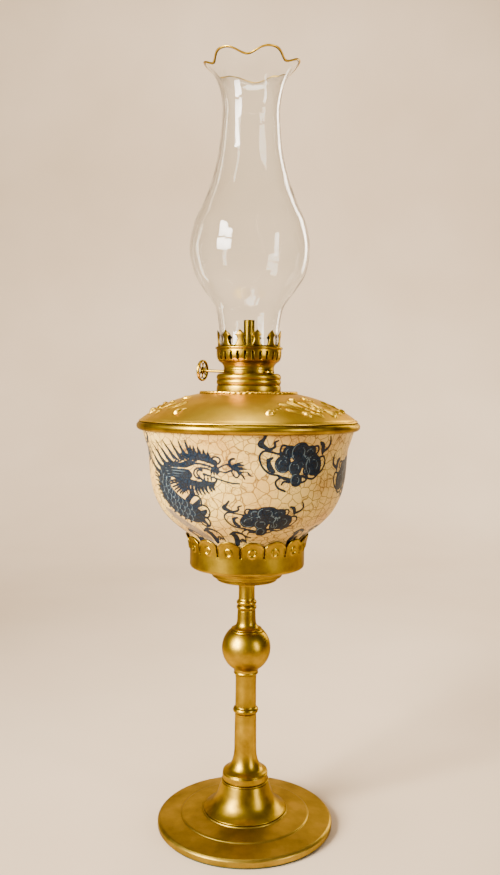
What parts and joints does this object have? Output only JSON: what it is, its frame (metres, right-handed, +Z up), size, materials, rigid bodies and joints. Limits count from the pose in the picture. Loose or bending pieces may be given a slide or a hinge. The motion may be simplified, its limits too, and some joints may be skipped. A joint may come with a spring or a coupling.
{
  "type": "oil lamp",
  "caption": "Oil lamp with a brass candlestick stand, a porcelain bowl under a domed brass lid, a round-wick burner and a bulbous glass chimney with a crimped rim.",
  "frame": {"origin": "middle of the underside of the base's felt", "axes": "+Z up along the lamp's axis, -Y to the lamp's front"},
  "size_m": [0.1664, 0.1664, 0.5719],
  "materials": {
    "brass": "satin, aged, with brighter edges",
    "base_brass": "dull, handled brass",
    "old_brass": "unpolished, darkened brass",
    "steel": "plain",
    "felt": "pressed wool felt",
    "rubber": "matt",
    "porcelain": "crackled glaze over blue painting",
    "cotton": "woven cotton wick",
    "glass": "clear blown glass with a gilt edge"
  },
  "bodies": {
    "stand": {"base_felt": "felt", "base_plate": "base_brass", "base_nut": "steel", "base_washer": "steel", "tie_rod": "steel", "pedestal": "brass", "stem_lower": "brass", "ball_knop": "brass", "stem_upper": "brass", "bowl_cup": "brass", "bowl_collar": "brass", "bowl_cushion": "felt", "porcelain_bowl": "porcelain", "bowl_gasket": "rubber", "bowl_washer": "brass", "bowl_nut": "brass", "bowl_rim": "brass"},
    "font_unit": {"font_cup": "old_brass", "font_shoulder": "old_brass", "lid": "brass", "lid_relief": "brass", "rope_ring": "brass", "burner_collar": "brass"},
    "burner_seal": {"burner_gasket": "rubber"},
    "burner": {"burner_spigot": "old_brass", "burner_body": "brass", "burner_lug": "brass", "gallery": "brass", "air_screen": "old_brass", "wick_tube": "old_brass", "spindle_bush": "brass", "spindle_bracket": "old_brass"},
    "winder": {"spindle": "brass", "spur_wheel": "old_brass", "wick_knob": "brass"},
    "wick": {"wick": "cotton"},
    "chimney": {"chimney": "glass"}
  },
  "joints": [
    {"name": "font_lift", "type": "slide", "parent": "stand", "child": "font_unit", "axis": [0, 0, 1], "range_m": [0, 0.12]},
    {"name": "burner_rise", "type": "slide", "parent": "font_unit", "child": "burner_seal", "axis": [0, 0, 1], "range_m": [0, 0.0081]},
    {"name": "burner_unscrew", "type": "hinge", "parent": "burner_seal", "child": "burner", "pos_m": [0, 0, 0.3442], "axis": [0, 0, 1], "range_deg": [0, 1620]},
    {"name": "winder_turn", "type": "hinge", "parent": "burner", "child": "winder", "pos_m": [-0.00296, -0.00607, 0.34467], "axis": [-0.8977, 0.4378, 0.0488], "range_deg": [-90, 125]},
    {"name": "wick_rise", "type": "slide", "parent": "burner", "child": "wick", "axis": [0, 0, 1], "range_m": [-0.0052, 0.0072]},
    {"name": "chimney_lift", "type": "slide", "parent": "burner", "child": "chimney", "axis": [0, 0, 1], "range_m": [0, 0.09]}
  ],
  "couplings": [
    {"joint": "burner_rise", "follows": "burner_unscrew", "m_per_rad": 0.00028648},
    {"joint": "wick_rise", "follows": "winder_turn", "m_per_rad": 0.0032}
  ]
}
